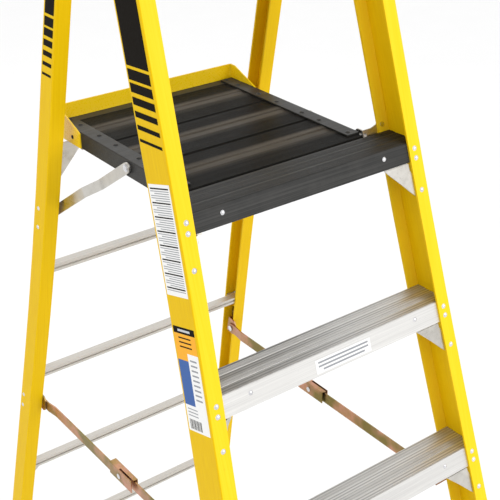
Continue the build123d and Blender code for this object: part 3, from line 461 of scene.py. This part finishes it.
INK = printed("label_black", (0.006, 0.004, 0.002), 0.5, 0.04)
WHITE = printed("label_white", (0.86, 0.86, 0.85), 0.42)
GREY = printed("label_grey", (0.30, 0.31, 0.33))
ORANGE = printed("label_orange", (0.90, 0.42, 0.02))
BLUE = printed("label_blue", (0.045, 0.12, 0.36))
SILVER = printed("label_silver", (0.55, 0.57, 0.60), 0.3)

# Near and far edge of the front rails' labels, behind the front face.
NEAR, FAR = 0.007, 0.073


def hazard_panel(prefix, rail, side, body, span, stripes, slant):
    """Black panel over six stripes, all with slanted ends."""
    top, bottom, near, far = span
    film(prefix + "_panel", body, INK, on_web(rail, side, top, bottom, near, far, slant))
    for index, (high, low) in enumerate(stripes):
        patch = on_web(rail, side, high, low, near, far, slant)
        film(prefix + "_stripe_%d" % (index + 1), body, INK, patch, rows=2)


STRIPES = 6
THICKEST_STRIPE = 0.0180
STRIPE_THINNING = 0.0026


def stripe_edges(first, pitch):
    """Upper and lower edge of each stripe; the stripes thin out downwards."""
    edges = []
    for index in range(STRIPES):
        high = first - pitch * index
        edges.append((high, high - THICKEST_STRIPE + STRIPE_THINNING * index))
    return edges


FRONT_STRIPES = stripe_edges(0.2395, 0.0231)
FRONT_PANEL = (0.560, 0.2450, NEAR, FAR)
FRONT_SLANT = -0.0145
for side, label in SIDES:
    prefix = "front_" + label + "_mark"
    hazard_panel(
        prefix, front_rail, side, "front_frame", FRONT_PANEL, FRONT_STRIPES, FRONT_SLANT
    )

HEAVY_RULE = 0.0024
LIGHT_RULE = 0.0015
RULE_GAP = 0.0024
# White left round the rules, and how much shorter every third rule is.
MARGIN = 0.004
SHORT_RULE = 0.012


def safety_label(prefix, side, top, bottom):
    """White notice: rules of plain grey bars stand where printed lines would be."""
    body = "front_frame"
    film(prefix + "_ground", body, WHITE, on_web(front_rail, side, top, bottom, NEAR, FAR))
    line = top - 0.006
    count = 0
    while line > bottom + 0.008:
        tall, ink = (HEAVY_RULE, INK) if count % 6 == 0 else (LIGHT_RULE, GREY)
        end = FAR - MARGIN - (SHORT_RULE if count % 3 == 2 else 0.0)
        patch = on_web(front_rail, side, line, line - tall, NEAR + MARGIN, end)
        film(prefix + "_rule_%d" % (count + 1), body, ink, patch, 2, rows=1)
        line -= tall + RULE_GAP
        count += 1


safety_label("front_left_notice", -1, 0.0555, -0.1355)


def product_label(prefix, side, top):
    """Plain colour blocks beside grey rules, with a bar strip at the foot.

    Start and end are measured down the slope from top.
    """
    middle = 0.040

    def block(name, ink, start, end, near, far, layer=1, rows=4):
        patch = on_web(front_rail, side, top - start, top - end, near, far)
        film(prefix + "_" + name, "front_frame", ink, patch, layer, rows=rows)

    def rules(name, ink, count, start, pitch, tall, near, far):
        for index in range(count):
            high = start + index * pitch
            block("%s_%d" % (name, index + 1), ink, high, high + tall, near, far, 2, 1)

    block("header", INK, 0.0, 0.012, NEAR, FAR)
    block("header_bar", SILVER, 0.004, 0.008, NEAR + 0.014, FAR - 0.014, 2, 1)
    block("upper", ORANGE, 0.012, 0.046, NEAR, FAR)
    block("upper_left", ORANGE, 0.046, 0.060, middle, FAR)
    block("ground", WHITE, 0.046, 0.190, NEAR, middle)
    block("ground_foot", WHITE, 0.142, 0.190, middle, FAR)
    block("middle", BLUE, 0.060, 0.142, middle, FAR)
    rules("upper_rule", INK, 3, 0.018, 0.008, 0.0024, 0.022, 0.060)
    rules("rule", GREY, 9, 0.056, 0.0088, 0.0030, 0.014, 0.034)
    rules("foot_rule", GREY, 3, 0.148, 0.006, 0.0018, 0.036, FAR - 0.006)
    for index in range(12):
        near = 0.030 + index * 0.0032
        wide = 0.0012 if index % 3 else 0.0020
        block("bar_%d" % (index + 1), INK, 0.168, 0.186, near, near + wide, 2, 2)


product_label("front_left_grade", -1, -0.190)

REAR_STRIPES = stripe_edges(0.2397, 0.0226)
REAR_PANEL = (0.470, 0.2457, 0.006, 0.038)
REAR_SLANT = 0.007
for side, label in SIDES:
    prefix = "rear_" + label + "_mark"
    hazard_panel(prefix, rear_rail, side, "rear_frame", REAR_PANEL, REAR_STRIPES, REAR_SLANT)


def step_notice():
    """Plain white notice with grey bars on the skirt of the uppermost open step."""
    body = "front_frame"
    top = -STEP_PITCH / math.cos(FRONT_LEAN) - 0.009
    skirt_depth = 0.0040

    def patch(left, right, high, low):
        def corner(u, v, lift):
            x = right + (left - right) * u
            return front_rail.place(x, high + (low - high) * v, skirt_depth - lift)

        return corner

    film("step_notice_ground", body, WHITE, patch(-0.052, 0.080, top, top - 0.026))
    for index in range(3):
        high = top - 0.004 - index * 0.0072
        trim = 0.010 if index == 2 else 0.0
        bar = patch(-0.046 + trim, 0.074 - trim, high, high - 0.0034)
        film("step_notice_rule_%d" % (index + 1), body, GREY, bar, 2)


step_notice()


# ---------------------------------------------------------------- studio


def pale_paint():
    """Matt, nearly white studio floor."""
    g = Graph("pale_floor")
    mottle = g.noise(g.coordinates(), 3.0)
    g.link(g.mix(mottle, (0.86, 0.86, 0.86), (0.88, 0.88, 0.88)), "Base Color")
    g.value("Roughness", 0.8)
    return g.material


def floor(size):
    half = size / 2
    corners = [(-half, -half, 0), (half, -half, 0), (half, half, 0), (-half, half, 0)]
    mesh = bpy.data.meshes.new("floor")
    mesh.from_pydata(corners, [], [(0, 1, 2, 3)])
    mesh.materials.append(pale_paint())
    made = bpy.data.objects.new("floor", mesh)
    bpy.context.scene.collection.objects.link(made)


floor(90.0)

MIDDLE = (0, 0, 1.5)


def lamp(name, place, power, size):
    """Square soft light turned to the ladder's middle."""
    data = bpy.data.lights.new(name, "AREA")
    data.energy = power
    data.shape = "SQUARE"
    data.size = size
    made = bpy.data.objects.new(name, data)
    made.location = place
    aim = Vector(MIDDLE) - Vector(place)
    made.rotation_euler = aim.to_track_quat("-Z", "Y").to_euler()
    bpy.context.scene.collection.objects.link(made)


lamp("key", (1.6, -4.2, 3.4), 70.0, 2.4)
lamp("fill", (-4.6, -1.4, 3.0), 16.0, 3.0)
lamp("rim", (0.5, 4.5, 4.5), 20.0, 3.0)

world = bpy.data.worlds.new("studio")
world.use_nodes = True
sky = world.node_tree.nodes["Background"]
sky.inputs["Color"].default_value = (1, 1, 1, 1)
sky.inputs["Strength"].default_value = 1.10
bpy.context.scene.world = world
bpy.context.scene.view_settings.view_transform = "Standard"

# ---------------------------------------------------------------- camera

AZIMUTH = math.radians(37.034)
ELEVATION = math.radians(-27.652)
ROLL = math.radians(-0.433)
EYE = Vector((-1.13116, ORIGIN_Y - 1.33266, PLATFORM + 0.76854))
LENS = 78.61

data = bpy.data.cameras.new("camera")
data.sensor_width = 36.0
data.lens = LENS
data.shift_x = -0.0014
data.shift_y = 0.0030
camera = bpy.data.objects.new("camera", data)
ahead = Vector((
    math.sin(AZIMUTH) * math.cos(ELEVATION),
    math.cos(AZIMUTH) * math.cos(ELEVATION),
    math.sin(ELEVATION),
))
right = Vector((math.cos(AZIMUTH), -math.sin(AZIMUTH), 0))
up = right.cross(ahead)
tilted_right = right * math.cos(ROLL) + up * math.sin(ROLL)
tilted_up = up * math.cos(ROLL) - right * math.sin(ROLL)
turn = Matrix((tilted_right, tilted_up, -ahead)).transposed()
camera.matrix_world = Matrix.Translation(EYE) @ turn.to_4x4()
bpy.context.scene.collection.objects.link(camera)
bpy.context.scene.camera = camera
